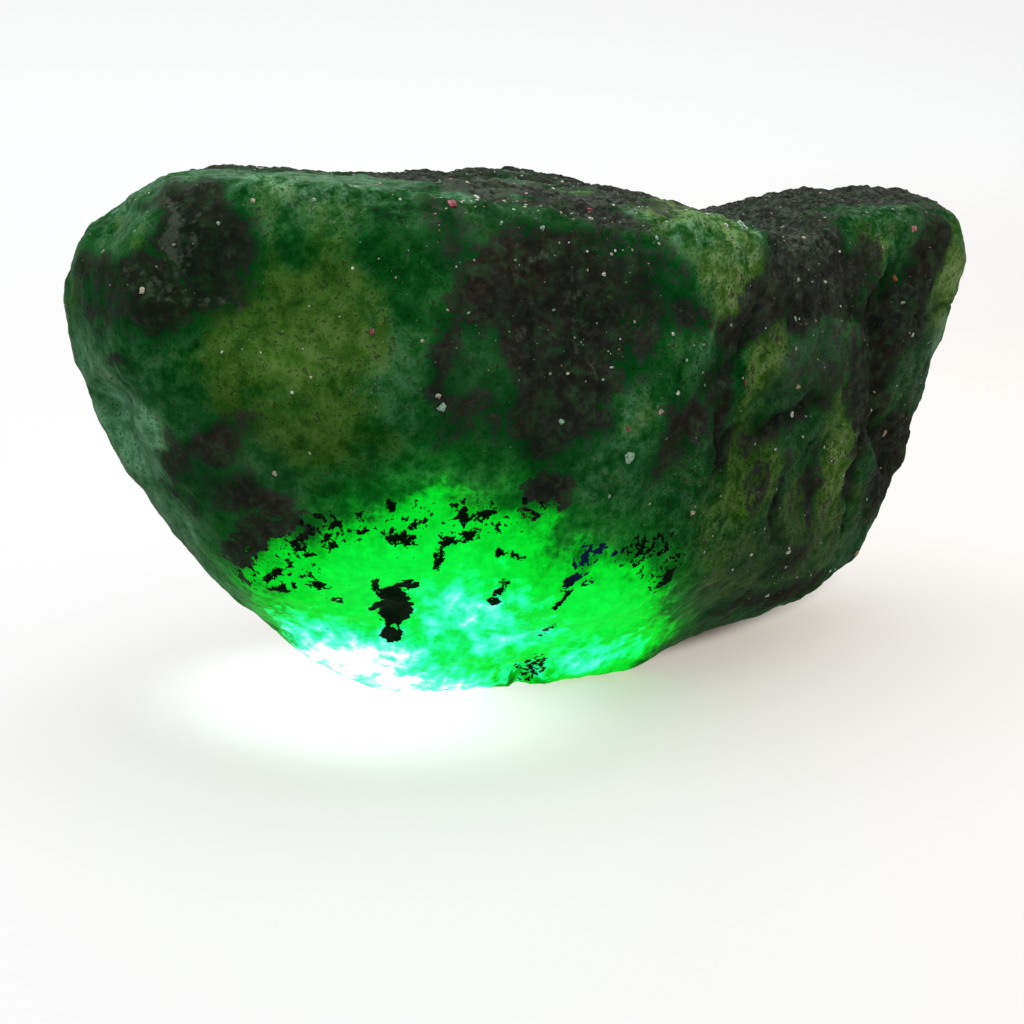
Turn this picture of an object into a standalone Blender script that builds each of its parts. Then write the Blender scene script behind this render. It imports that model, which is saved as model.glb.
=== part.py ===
"""Raw emerald: one rough stone of green beryl grown through dark mica schist, lying on its narrow base.

The corners of the broken lump are listed in millimetres. Their hull gives the flat fracture faces, which are
then worn round, dented where chips have come away, split along the grooves between the columns of its right
flank, and ribbed where the schist layers are cut across.
+X runs along the stone, -Y is the broad front face, +Z is up. The origin is under the middle, at the base.
"""

import bmesh
import bpy
from mathutils import Vector, noise

MM = 0.001

# Corners of the broken lump in mm, each list in order from the left end to the right end.
CREST = [
    (-26.3, -2.0, 34.0), (-22.5, 2.0, 36.0), (-13.5, 8.0, 35.7), (-3.5, 11.0, 36.1), (3.0, 12.5, 35.2),
    (8.5, 11.5, 33.0), (18.0, 13.0, 31.9), (25.0, 14.0, 33.0), (30.5, 14.0, 33.9), (35.7, 12.0, 33.5),
    (38.2, 9.0, 32.0),
]
BROW = [
    (-25.6, -9.0, 34.2), (-22.0, -11.0, 35.5), (-16.0, -13.0, 35.5), (-9.0, -14.0, 34.9), (-3.0, -14.2, 33.9),
    (3.0, -13.2, 33.2), (12.0, -10.2, 32.1), (28.0, -0.4, 32.6), (32.5, 2.0, 32.4),
]
FRONT_FACE = [
    (-26.6, -11.5, 27.5), (-19.5, -14.5, 23.0), (-10.0, -17.0, 25.0), (1.0, -16.0, 23.0), (9.5, -12.5, 22.0),
    (21.0, -5.5, 20.0), (29.5, -0.5, 26.0), (30.0, 1.5, 16.0),
]
FRONT_FOOT = [
    (-18.9, -9.5, 10.6), (-11.0, -13.5, 12.0), (-3.0, -14.0, 11.0), (4.5, -12.0, 9.0), (12.0, -9.0, 9.5),
    (20.0, -4.0, 9.0),
]
LEFT_END = [
    (-29.4, -2.0, 31.9), (-30.8, 0.0, 27.7), (-29.9, 1.0, 23.6), (-28.6, 0.0, 18.9), (-26.3, -1.0, 14.8),
    (-23.9, -2.0, 11.2), (-19.8, -3.0, 6.9), (-14.9, -2.6, 2.6),
]
RIGHT_END = [
    (39.0, 7.0, 29.6), (38.5, 8.0, 24.9), (37.1, 8.0, 20.1), (35.5, 8.0, 15.0), (34.2, 8.0, 10.2),
    (31.9, 7.0, 5.2), (26.5, 3.5, 1.6),
]
BACK_FACE = [
    (-22.0, 8.0, 24.0), (-8.0, 14.0, 25.0), (8.0, 16.5, 22.0), (22.0, 17.0, 21.0), (33.0, 14.5, 20.0),
    (-16.0, 6.0, 10.0), (-4.0, 11.0, 8.0), (12.0, 13.0, 7.0), (24.0, 12.5, 8.0),
]
BASE = [
    (-10.0, -0.8, -1.0), (-5.7, -2.4, -1.2), (1.0, -2.4, -1.2), (6.5, -1.6, -1.0), (12.7, 0.4, -0.8),
    (19.5, 2.0, 0.2), (20.0, 8.0, 0.2), (12.0, 9.0, -0.8), (0.0, 8.0, -1.2), (-9.0, 4.0, -1.2),
]

# How the faces are worn: the spacing of the surface points in mm, and how far the edges are rubbed round.
SURFACE_SPACING = 1.42
RUBBING_STRENGTH = 0.5
RUBBING_PASSES = 6

# Where chips have come away: a centre on the surface, a radius and a depth, in mm.
CHIPS = [
    ("saddle across the top", (16.0, 3.5, 34.0), 14.0, 2.9),
    ("notch at the back of the saddle", (12.5, 10.5, 33.4), 8.5, 2.4),
    ("saddle in front of the knob", (18.5, -2.0, 33.0), 7.0, 1.2),
    ("step below the left shoulder", (-27.8, -4.0, 20.6), 4.0, 1.0),
    ("hollow under the brow", (1.0, -15.5, 26.5), 7.0, 0.8),
]

# Grooves in the face: how far each reaches to either side, its depth, and the line it follows, in mm.
GROOVES = [
    ("split beside the right column", 2.6, 1.5,
     [(31.0, 0.9, 28.4), (27.0, -1.8, 26.4), (28.6, 0.1, 17.2), (31.7, 3.9, 13.1)]),
    ("groove in the middle column", 2.2, 0.8,
     [(20.0, -5.1, 15.4), (19.7, -4.9, 13.5), (21.2, -3.7, 11.0)]),
    ("groove left of the middle", 2.2, 0.9,
     [(15.2, -8.8, 19.0), (13.4, -9.4, 16.5), (14.2, -8.5, 13.5)]),
    ("groove at the turn of the face", 2.2, 0.8,
     [(11.2, -11.2, 24.1), (8.0, -12.8, 20.0), (7.1, -12.4, 16.5)]),
    ("ledge across the columns", 2.0, 0.6,
     [(12.9, -10.1, 19.8), (16.3, -8.2, 20.0), (21.5, -5.4, 20.4)]),
    ("edge below the left shoulder", 2.2, 0.7,
     [(-27.5, -4.4, 21.4), (-22.5, -12.8, 27.0)]),
]

# The schist layers lie across this direction, close together. Cut across, they make ribs. Sizes in mm.
LAYER_NORMAL = Vector((0.22, 0.96, 0.12)).normalized()
LAYER_PITCH = 3.2
LAYER_REACH = 14.0
RIB_HEIGHT = 0.45

# Broad lumps left by the uneven fracture: their size and height in mm, and how many finer steps they have.
LUMP_SIZE = 8.0
LUMP_HEIGHT = 0.55
LUMP_STEPS = 3
LUMP_FALLOFF = 1.0
LUMP_REFINEMENT = 2.0


def clear_scene():
    for old in list(bpy.data.objects):
        bpy.data.objects.remove(old)


def hull_object(name, corners):
    """The convex hull of the corners, as a new object."""
    shape = bmesh.new()
    for corner in corners:
        shape.verts.new(Vector(corner) * MM)
    made = bmesh.ops.convex_hull(shape, input=shape.verts)
    inside = set(made["geom_interior"]) | set(made["geom_unused"])
    bmesh.ops.delete(shape, geom=[v for v in inside if isinstance(v, bmesh.types.BMVert)], context="VERTS")
    bmesh.ops.recalc_face_normals(shape, faces=shape.faces)
    mesh = bpy.data.meshes.new(name)
    shape.to_mesh(mesh)
    shape.free()
    stone = bpy.data.objects.new(name, mesh)
    bpy.context.scene.collection.objects.link(stone)
    return stone


def wear_round(stone):
    """Gives the stone evenly spaced surface points and rubs its edges round."""
    grid = stone.modifiers.new("even_points", "REMESH")
    grid.mode = "VOXEL"
    grid.voxel_size = SURFACE_SPACING * MM
    rub = stone.modifiers.new("worn_edges", "SMOOTH")
    rub.factor = RUBBING_STRENGTH
    rub.iterations = RUBBING_PASSES
    bpy.context.view_layer.update()
    graph = bpy.context.evaluated_depsgraph_get()
    worn = bpy.data.meshes.new_from_object(stone.evaluated_get(graph))
    stone.modifiers.clear()
    stone.data = worn


def rib(place):
    """Height of the ribs at a place in mm: the layers vary fast across them and slowly along them."""
    across = place.dot(LAYER_NORMAL)
    along = place - LAYER_NORMAL * across
    return noise.noise(along / LAYER_REACH + LAYER_NORMAL * (across / LAYER_PITCH))


def lump(place):
    """Height of the broad lumps at a place in mm."""
    return noise.fractal(place / LUMP_SIZE, LUMP_FALLOFF, LUMP_REFINEMENT, LUMP_STEPS)


def smooth_step(value):
    """Eases from 0 to 1 as the value goes from 0 to 1."""
    value = max(0.0, min(1.0, value))
    return value * value * (3.0 - 2.0 * value)


def distance_to_line(place, start, end):
    """How far a place is from the straight line between two points."""
    run = end - start
    share = max(0.0, min(1.0, (place - start).dot(run) / run.length_squared))
    return (place - start - run * share).length


def broken_away(place):
    """How deep the chips and grooves cut at a place in mm."""
    depth = 0.0
    for _, centre, radius, cut in CHIPS:
        depth += cut * smooth_step(1.0 - (place - Vector(centre)).length / radius)
    for _, half_width, cut, line in GROOVES:
        corners = [Vector(point) for point in line]
        nearest = min(distance_to_line(place, a, b) for a, b in zip(corners, corners[1:]))
        depth += cut * smooth_step(1.0 - nearest / half_width)
    return depth


def break_surface(mesh):
    """Moves each surface point along its normal by the lumps, ribs, chips and grooves there."""
    normals = [v.normal.copy() for v in mesh.vertices]
    for vertex, normal in zip(mesh.vertices, normals):
        place = vertex.co / MM
        facing_layers = abs(normal.dot(LAYER_NORMAL))
        height = LUMP_HEIGHT * lump(place) + RIB_HEIGHT * rib(place) * (1.0 - facing_layers)
        vertex.co += normal * (height - broken_away(place)) * MM


def cut_base(mesh):
    """Cuts the underside flat at z = 0, as one face."""
    shape = bmesh.new()
    shape.from_mesh(mesh)
    everything = shape.verts[:] + shape.edges[:] + shape.faces[:]
    cut = bmesh.ops.bisect_plane(
        shape, geom=everything, plane_co=(0, 0, 0), plane_no=(0, 0, 1), clear_inner=True
    )
    rim = [e for e in cut["geom_cut"] if isinstance(e, bmesh.types.BMEdge)]
    bmesh.ops.edgeloop_fill(shape, edges=rim)
    bmesh.ops.recalc_face_normals(shape, faces=shape.faces)
    shape.to_mesh(mesh)
    shape.free()


def centre_over_origin(mesh):
    """Moves the stone sideways so that the middle of its length and of its depth is at the origin."""
    along = [v.co.x for v in mesh.vertices]
    deep = [v.co.y for v in mesh.vertices]
    middle = Vector((min(along) + max(along), min(deep) + max(deep), 0.0)) / 2
    for vertex in mesh.vertices:
        vertex.co -= middle


def green_stone():
    material = bpy.data.materials.new("green_stone")
    material.use_nodes = True
    shader = material.node_tree.nodes["Principled BSDF"]
    shader.inputs["Base Color"].default_value = (0.02, 0.10, 0.03, 1.0)
    shader.inputs["Roughness"].default_value = 0.5
    shader.inputs["Metallic"].default_value = 0.0
    return material


def main():
    clear_scene()
    corners = CREST + BROW + FRONT_FACE + FRONT_FOOT + LEFT_END + RIGHT_END + BACK_FACE + BASE
    stone = hull_object("raw_emerald", corners)
    wear_round(stone)
    break_surface(stone.data)
    cut_base(stone.data)
    centre_over_origin(stone.data)
    stone.data.materials.append(green_stone())
    stone.data.shade_smooth()


main()
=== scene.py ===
import math
import bmesh
import bpy
import numpy as np
from mathutils import Matrix, Vector, noise
from mathutils.bvhtree import BVHTree


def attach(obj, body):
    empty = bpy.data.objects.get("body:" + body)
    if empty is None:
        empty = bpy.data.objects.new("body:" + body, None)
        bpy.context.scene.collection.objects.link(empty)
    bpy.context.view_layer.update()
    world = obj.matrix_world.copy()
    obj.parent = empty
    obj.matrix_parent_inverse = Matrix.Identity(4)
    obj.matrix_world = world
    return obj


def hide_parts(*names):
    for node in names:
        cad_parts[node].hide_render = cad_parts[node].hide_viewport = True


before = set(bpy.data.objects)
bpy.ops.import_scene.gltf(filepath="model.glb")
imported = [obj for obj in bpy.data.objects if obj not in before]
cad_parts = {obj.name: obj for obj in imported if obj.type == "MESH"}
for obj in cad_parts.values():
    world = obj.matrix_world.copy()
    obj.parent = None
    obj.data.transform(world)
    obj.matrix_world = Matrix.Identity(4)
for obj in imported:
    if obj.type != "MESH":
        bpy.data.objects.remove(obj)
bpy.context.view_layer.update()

# Sizes are in millimetres unless a line says metres.
mm = 0.001


# Camera

view = {
    "lens": 55.0,
    "sensor": 36.0,
    "azimuth": -14.0,  # degrees, from straight ahead toward the left
    "elevation": 14.5,
    "distance": 112.0,
    "aim": (-4.4, -0.1, 12.0),
}


def addCamera():
    data = bpy.data.cameras.new("camera")
    data.lens = view["lens"]
    data.sensor_width = view["sensor"]
    data.clip_start = 0.001
    camera = bpy.data.objects.new("camera", data)
    bpy.context.scene.collection.objects.link(camera)
    turn = math.radians(view["azimuth"])
    rise = math.radians(view["elevation"])
    back = Vector((math.sin(turn) * math.cos(rise), -math.cos(turn) * math.cos(rise), math.sin(rise)))
    camera.location = (Vector(view["aim"]) + back * view["distance"]) * mm
    camera.rotation_euler = (-back).to_track_quat("-Z", "Y").to_euler()
    bpy.context.scene.camera = camera


# Node tools

class Wire:
    # One socket of a node tree. Operators on it add Math nodes.
    def __init__(self, bench, socket):
        self.bench = bench
        self.socket = socket

    def also(self, name):
        # another output of the same node
        return Wire(self.bench, self.bench.find(self.socket.node.outputs, name))

    def maths(self, operation, *values):
        return self.bench.node("ShaderNodeMath", {"operation": operation}, dict(enumerate(values)))

    def __add__(self, other):
        return self.maths("ADD", self, other)

    def __radd__(self, other):
        return self.maths("ADD", other, self)

    def __sub__(self, other):
        return self.maths("SUBTRACT", self, other)

    def __rsub__(self, other):
        return self.maths("SUBTRACT", other, self)

    def __mul__(self, other):
        return self.maths("MULTIPLY", self, other)

    def __rmul__(self, other):
        return self.maths("MULTIPLY", other, self)

    def __truediv__(self, other):
        return self.maths("DIVIDE", self, other)

    def __rtruediv__(self, other):
        return self.maths("DIVIDE", other, self)


class Bench:
    # Adds nodes to one tree.
    def __init__(self, tree):
        self.tree = tree

    def find(self, sockets, key):
        if isinstance(key, int):
            return sockets[key]
        for socket in sockets:
            if socket.identifier == key:
                return socket
        return next(socket for socket in sockets if socket.name == key and socket.enabled)

    def plug(self, socket, value):
        if isinstance(value, Wire):
            self.tree.links.new(value.socket, socket)
        else:
            socket.default_value = value

    def node(self, kind, settings=None, values=None, out=0):
        made = self.tree.nodes.new(kind)
        for name, value in (settings or {}).items():
            if name == "stops":
                fillRamp(made.color_ramp, value)
            else:
                setattr(made, name, value)
        for key, value in (values or {}).items():
            self.plug(self.find(made.inputs, key), value)
        return Wire(self, self.find(made.outputs, out))

    def vector(self, operation, *values):
        out = "Value" if operation in ("DOT_PRODUCT", "LENGTH", "DISTANCE") else "Vector"
        return self.node("ShaderNodeVectorMath", {"operation": operation}, dict(enumerate(values)), out)

    def scaled(self, vector, amount):
        return self.node("ShaderNodeVectorMath", {"operation": "SCALE"}, {0: vector, "Scale": amount}, "Vector")

    def mix(self, factor, first, second, way="MIX"):
        settings = {"data_type": "RGBA", "blend_type": way}
        return self.node(
            "ShaderNodeMix", settings, {"Factor_Float": factor, "A_Color": first, "B_Color": second}, "Result_Color"
        )

    def ease(self, value, low, high):
        # 0 below low, 1 above high, smooth between
        return self.node(
            "ShaderNodeMapRange",
            {"interpolation_type": "SMOOTHSTEP"},
            {"Value": value, "From Min": low, "From Max": high},
        )

    def cloud(self, place, scale, detail=3.0, roughness=0.55, seed=0.0):
        # Noise spread over the whole of 0 to 1. The seed shifts it.
        stride = (31.7, 17.3, 23.9)
        shift = self.scaled(stride, seed) if isinstance(seed, Wire) else tuple(part * seed for part in stride)
        shifted = self.vector("ADD", place, shift)
        values = {"Vector": shifted, "Scale": scale, "Detail": detail, "Roughness": roughness}
        return self.ease(self.node("ShaderNodeTexNoise", None, values), 0.32, 0.68)


def fillRamp(ramp, stops):
    while len(ramp.elements) < len(stops):
        ramp.elements.new(0.5)
    for element, (position, colour) in zip(ramp.elements, stops):
        element.position = position
        element.color = (*colour, 1.0)


def newMaterial(name):
    material = bpy.data.materials.new(name)
    material.use_nodes = True
    return material, Bench(material.node_tree), material.node_tree.nodes["Principled BSDF"]


def newTree(name, inputs):
    # A geometry tree whose named inputs are floats, whole numbers or a material.
    tree = bpy.data.node_groups.new(name, "GeometryNodeTree")
    tree.interface.new_socket("Geometry", in_out="INPUT", socket_type="NodeSocketGeometry")
    tree.interface.new_socket("Geometry", in_out="OUTPUT", socket_type="NodeSocketGeometry")
    for inputName, kind in inputs.items():
        tree.interface.new_socket(inputName, in_out="INPUT", socket_type="NodeSocket" + kind)
    bench = Bench(tree)
    source = tree.nodes.new("NodeGroupInput")
    wires = {socket.name: Wire(bench, socket) for socket in source.outputs if socket.name}
    return tree, bench, wires


def finishTree(bench, geometry, material):
    geometry = bench.node("GeometryNodeRealizeInstances", None, {"Geometry": geometry})
    geometry = bench.node("GeometryNodeSetMaterial", None, {"Geometry": geometry, "Material": material})
    target = bench.tree.nodes.new("NodeGroupOutput")
    bench.plug(target.inputs[0], geometry)


def runTree(piece, tree, values):
    # Runs the tree on the piece once and keeps the result as its plain mesh.
    modifier = piece.modifiers.new(tree.name, "NODES")
    modifier.node_group = tree
    for item in tree.interface.items_tree:
        if item.in_out == "INPUT" and item.name in values:
            modifier[item.identifier] = values[item.name]
    keepResult(piece)


def keepResult(piece):
    bpy.context.view_layer.update()
    graph = bpy.context.evaluated_depsgraph_get()
    result = bpy.data.meshes.new_from_object(piece.evaluated_get(graph))
    piece.modifiers.clear()
    piece.data = result


def newPiece(name, mesh):
    piece = bpy.data.objects.new(name, mesh)
    bpy.context.scene.collection.objects.link(piece)
    return piece


# The stone's fine surface

stoneMesh = {
    "voxel": 0.30,
    "smoothing": 10,
    "upright layers": Vector((0.86, 0.50, 0.06)).normalized(),  # the schist layers lie across these
    "level layers": Vector((0.12, 0.97, 0.20)).normalized(),
}


def startStone():
    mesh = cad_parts["raw_emerald"].data.copy()
    shape = bmesh.new()
    shape.from_mesh(mesh)
    bmesh.ops.remove_doubles(shape, verts=shape.verts, dist=1e-6)
    shape.to_mesh(mesh)
    shape.free()
    piece = newPiece("rawEmerald", mesh)
    finer = piece.modifiers.new("finer", "SUBSURF")
    finer.levels = 1
    finer.render_levels = 1
    even = piece.modifiers.new("even", "REMESH")
    even.mode = "VOXEL"
    even.voxel_size = stoneMesh["voxel"] * mm
    smooth = piece.modifiers.new("smooth", "SMOOTH")
    smooth.iterations = stoneMesh["smoothing"]
    keepResult(piece)
    return piece


# Where each kind of rock shows. Every zone is a tilted oval on one side of the stone: a name, its place
# across and up that side, its half width and half height, its tilt in degrees, and how strong it is.
# A negative strength clears what the zones before it laid down.

sides = {
    "front": {"across": (1, 0, 0), "up": (0, 0, 1), "facing": (0, -1, 0)},
    "back": {"across": (1, 0, 0), "up": (0, 0, 1), "facing": (0, 1, 0)},
    "top": {"across": (1, 0, 0), "up": (0, 1, 0), "facing": (0, 0, 1)},
}

schistZones = {
    "edge": 2.2,
    "front": [
        ("shoulder core", -25.2, 32.3, 2.4, 2.9, -4, 1.15),
        ("shoulder top", -26.9, 33.5, 1.9, 1.6, 0, 1.05),
        ("shoulder middle", -27.4, 30.6, 3.2, 1.6, 0, 1.05),
        ("shoulder low", -29.0, 29.0, 3.2, 1.2, 8, 1.05),
        ("shoulder outer", -31.6, 29.9, 1.9, 1.5, 0, 0.64),
        ("shoulder foot", -25.9, 29.4, 1.1, 0.8, 0, 0.7),
        ("spot on the rim", -30.5, 25.7, 0.6, 0.5, 0, 0.75),
        ("green in the shoulder", -27.0, 30.7, 0.9, 0.6, 0, -0.7),
        ("green by the top", -30.0, 33.2, 1.6, 1.2, 20, -0.6),
        ("green under the brow", -23.8, 34.9, 2.2, 0.8, 0, -0.8),
        ("brown column", -11.8, 33.3, 1.1, 1.7, 0, 0.78),
        ("middle top", -6.4, 31.1, 4.0, 2.1, 0, 1.05),
        ("middle upper left", -9.9, 29.8, 2.3, 2.7, 0, 1.0),
        ("middle core", -4.9, 27.9, 4.2, 3.9, 0, 1.15),
        ("middle low", -5.4, 23.8, 3.7, 3.0, 0, 1.15),
        ("middle tip", -5.9, 20.9, 1.4, 1.6, 0, 0.95),
        ("middle left strip", -12.4, 25.4, 1.0, 2.8, -4, 0.95),
        ("left strip foot", -11.5, 23.2, 1.7, 1.1, -30, 0.75),
        ("lower left bits", -9.8, 22.4, 1.9, 1.0, 0, 0.52),
        ("right mottle", -0.6, 28.6, 2.8, 4.2, 0, 0.66),
        ("right upper", 1.2, 30.2, 2.6, 1.5, 0, 0.56),
        ("right lower", -1.8, 24.4, 2.0, 2.0, 0, 0.50),
        ("green window", -10.1, 25.2, 1.5, 1.6, 0, -0.8),
        ("olive window", -4.3, 30.4, 0.7, 1.3, 0, -0.5),
        ("green above the schist", -8.0, 33.9, 4.2, 0.9, 0, -0.9),
        ("vein upper", -26.0, 20.4, 2.6, 1.0, 42, 1.1),
        ("vein foot", -24.1, 17.3, 2.0, 1.1, -18, 1.0),
        ("vein over the light", -23.0, 14.6, 2.3, 1.25, 32, 1.05),
        ("vein tail", -24.2, 13.0, 0.9, 1.5, 20, 0.85),
        ("left rim spot", -28.0, 16.8, 0.9, 0.9, 0, 0.75),
        ("clot above the light", -6.0, 17.0, 1.4, 1.5, -14, 1.1),
        ("clot top", -6.3, 19.7, 0.8, 0.8, 0, 0.75),
        ("saddle front", 15.3, 28.5, 6.2, 3.2, 0, 1.0),
        ("saddle left", 13.6, 31.2, 2.6, 1.8, 0, 0.9),
        ("cap edge", 7.4, 30.6, 2.8, 2.6, 0, -0.9),
        ("under the cap", 8.7, 26.9, 2.6, 1.4, 38, 1.0),
        ("beside the cap", 3.4, 27.8, 1.5, 1.2, 0, 0.85),
        ("knob left", 17.8, 31.0, 1.1, 2.2, 0, 0.9),
        ("right column", 22.4, 21.4, 2.5, 5.3, 0, 1.0),
        ("right groove", 27.6, 28.6, 1.8, 4.2, -27, 1.0),
        ("groove foot", 25.2, 25.0, 2.4, 2.2, 0, 0.95),
        ("rim top", 28.9, 31.0, 1.7, 1.6, -20, 0.85),
        ("right foot", 26.9, 13.2, 2.9, 4.8, -15, 0.95),
        ("rib one", 3.2, 20.0, 1.2, 2.5, -20, 0.76),
        ("rib two", 6.9, 19.2, 0.8, 3.6, -5, 0.78),
        ("rib three", 16.5, 13.2, 0.8, 3.0, 0, 0.60),
        ("rib four", 5.6, 22.8, 1.0, 2.8, -20, 0.70),
        ("rib five", 10.8, 14.6, 0.7, 3.2, 0, 0.54),
        ("rib six", 13.2, 13.4, 0.5, 3.0, 0, 0.52),
        ("rib seven", 21.6, 14.5, 0.5, 3.2, 0, 0.50),
        ("column step", 12.6, 18.7, 3.4, 0.8, 20, 0.80),
        ("column mottle", 16.6, 22.6, 3.6, 2.6, 0, 0.42),
        ("right underside", 16.4, 4.2, 5.6, 1.2, 4, 0.85),
        ("right underside patch", 15.2, 7.8, 1.9, 1.0, 0, 0.8),
    ],
    "top": [
        ("back hump", -3.0, 0.5, 12.0, 8.0, 4, 0.95),
        ("back hump far", 0.0, 8.5, 14.0, 5.0, -8, 0.9),
        ("back crest", -17.0, 4.0, 10.0, 5.0, 0, 0.9),
        ("saddle", 12.0, 4.0, 8.0, 9.0, 20, 0.95),
        ("knob", 23.0, 9.0, 10.0, 6.0, 10, 0.95),
        ("dark brow", -4.5, -8.6, 8.0, 3.6, -2, 0.95),
        ("pale brow", -22.0, -7.0, 8.5, 4.0, 6, -0.8),
        ("brow crust", -18.5, 2.4, 8.5, 4.8, 3, 1.0),
        ("knob streak", 23.0, 2.5, 6.0, 1.2, 6, -0.6),
        ("hump window", -6.0, 1.0, 5.0, 1.6, 10, -0.45),
    ],
    "back": [
        ("back crest left", -16.0, 29.5, 7.0, 2.6, -12, 0.9),
        ("back left core", -12.0, 24.5, 5.0, 3.4, 20, 0.95),
        ("back left arm", -19.5, 21.5, 4.5, 1.4, 32, 0.8),
        ("back left tail", -6.0, 20.6, 4.0, 1.5, -24, 0.85),
        ("back step", 1.0, 19.6, 6.0, 0.7, 6, 0.7),
        ("back middle", 7.5, 13.2, 5.2, 2.4, -32, 0.9),
        ("back middle arm", 2.6, 17.0, 3.4, 0.9, -55, 0.75),
        ("back split", 17.0, 16.5, 13.0, 0.8, 49, 0.7),
        ("back right core", 27.0, 25.5, 4.4, 6.2, -12, 1.0),
        ("back right arm", 20.5, 28.0, 4.6, 1.7, 18, 0.85),
        ("back right low", 29.0, 16.5, 1.8, 3.0, 10, 0.8),
        ("back foot", -5.5, 6.0, 4.2, 1.4, 16, 0.8),
        ("back foot specks", 2.0, 8.5, 4.0, 2.4, 0, 0.48),
        ("back groove", -16.0, 13.6, 6.5, 1.1, -28, 0.58),
        ("back window", -13.5, 25.6, 1.7, 1.1, 0, -0.8),
        ("back right window", 26.0, 27.0, 1.4, 2.2, 20, -0.7),
    ],
}

oliveZones = {
    "edge": 3.0,
    "front": [
        ("broad cloud", -21.5, 26.7, 5.8, 4.4, 20, 1.0),
        ("lower cloud", -19.9, 22.1, 3.2, 2.6, 0, 1.0),
        ("upper cloud", -19.3, 30.1, 2.5, 3.0, 0, 0.85),
        ("column streak", 10.5, 23.6, 1.4, 2.8, -12, 0.9),
        ("bright streak", 19.3, 15.8, 1.7, 4.4, 0, 1.0),
        ("broad column", 9.6, 15.4, 3.4, 4.0, 0, 0.68),
        ("cap left", 3.6, 32.6, 4.0, 1.4, 0, 0.32),
        ("right rim", 31.1, 27.6, 2.2, 3.4, 0, 1.0),
        ("cap edge", 8.2, 28.7, 2.0, 1.5, 0, 0.8),
        ("right foot haze", 14.2, 9.6, 8.4, 4.7, 0, 0.5),
        ("left rim spot", -33.4, 29.4, 0.8, 1.0, 0, 0.9),
        ("upper rim", -30.4, 32.9, 1.3, 0.9, 0, 0.5),
    ],
    "top": [
        ("behind the brow", -2.0, -6.0, 9.0, 2.5, 5, 0.5),
    ],
    "back": [
        ("back cloud", -18.0, 16.0, 6.0, 5.0, 0, 0.8),
        ("back streak", 12.0, 24.0, 4.0, 6.0, 20, 0.8),
    ],
}

# pale milky beryl and pale flakes, and painted sheen: the pale haze on the chamfer, the brow strip and the rims is
# painted reflection
paleAndSheenZones = {
    "edge": 1.6,
    "front": [
        ("chamfer", -28.6, 35.1, 3.0, 1.7, 30, 1.0),
        ("brow strip", -21.9, 35.8, 6.0, 0.6, 0, 0.9),
        ("brow strip right", -14.9, 35.3, 3.0, 0.5, 0, 0.8),
        ("rim patch", -30.6, 19.5, 2.3, 3.5, 12, 1.15),
        ("rim strip", -32.6, 24.4, 1.3, 3.4, 10, 0.7),
        ("rim scallop", -28.3, 14.0, 1.1, 3.8, 32, 0.9),
        ("rim foot", -25.6, 10.4, 0.9, 2.6, 40, 0.7),
        ("lower rim", -22.2, 6.6, 0.8, 3.0, 48, 0.6),
        ("cloud light", -21.2, 26.4, 2.4, 2.0, 0, 0.14),
        ("middle light", -15.4, 24.1, 2.2, 1.8, 0, 0.35),
        ("pale streak", 4.9, 24.8, 0.7, 2.0, -15, 0.7),
        ("right rim light", 31.4, 22.2, 1.3, 2.0, 0, 1.2),
        ("right rim upper light", 31.6, 27.0, 1.1, 1.6, 0, 0.6),
        ("column haze", 16.1, 23.8, 4.2, 2.3, 0, 0.62),
        ("upper rim", -31.9, 32.7, 1.2, 1.4, 0, 0.4),
        ("above the light", 0.7, 15.7, 2.3, 1.4, 0, 0.2),
        ("cap left", 3.6, 32.5, 3.4, 1.2, 0, 0.4),
        ("cap middle", 7.0, 31.4, 1.4, 1.0, 0, 0.3),
    ],
    "top": [
        ("pale brow", -19.5, -6.5, 9.5, 3.2, 4, 0.9),
        ("pale shoulder", -28.0, -3.0, 3.0, 5.0, 0, 0.7),
        ("knob top", 28.0, 6.0, 5.0, 2.0, 20, 0.5),
    ],
    "back": [
        ("back glaze", 0.0, 28.0, 8.0, 3.0, 0, 0.7),
        ("back heel", 16.0, 8.0, 4.0, 3.0, 20, 0.7),
    ],
}

# pale flakes on the dark top: name, place across and back, half width and half depth
for name, across, back, halfWidth, halfDepth in [
    ("brow flake", -10.4, -10.0, 1.8, 1.5),
    ("small brow flake", -6.0, -9.3, 1.2, 0.9),
    ("hump flake", -5.4, -2.4, 1.9, 1.5),
    ("hump flake right", -1.4, -4.2, 1.5, 1.1),
    ("cap flake", 1.4, -8.9, 1.6, 1.0),
    ("hump flake left", -13.0, -6.4, 1.7, 1.2),
    ("crest flake", -3.0, 3.4, 1.6, 1.5),
    ("far cap flake", 4.4, -7.2, 1.4, 1.0),
]:
    schistZones["top"].append((name, across, back, halfWidth, halfDepth, 5, -1.0))
    paleAndSheenZones["top"].append((name, across, back, halfWidth, halfDepth, 5, 0.85))

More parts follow.
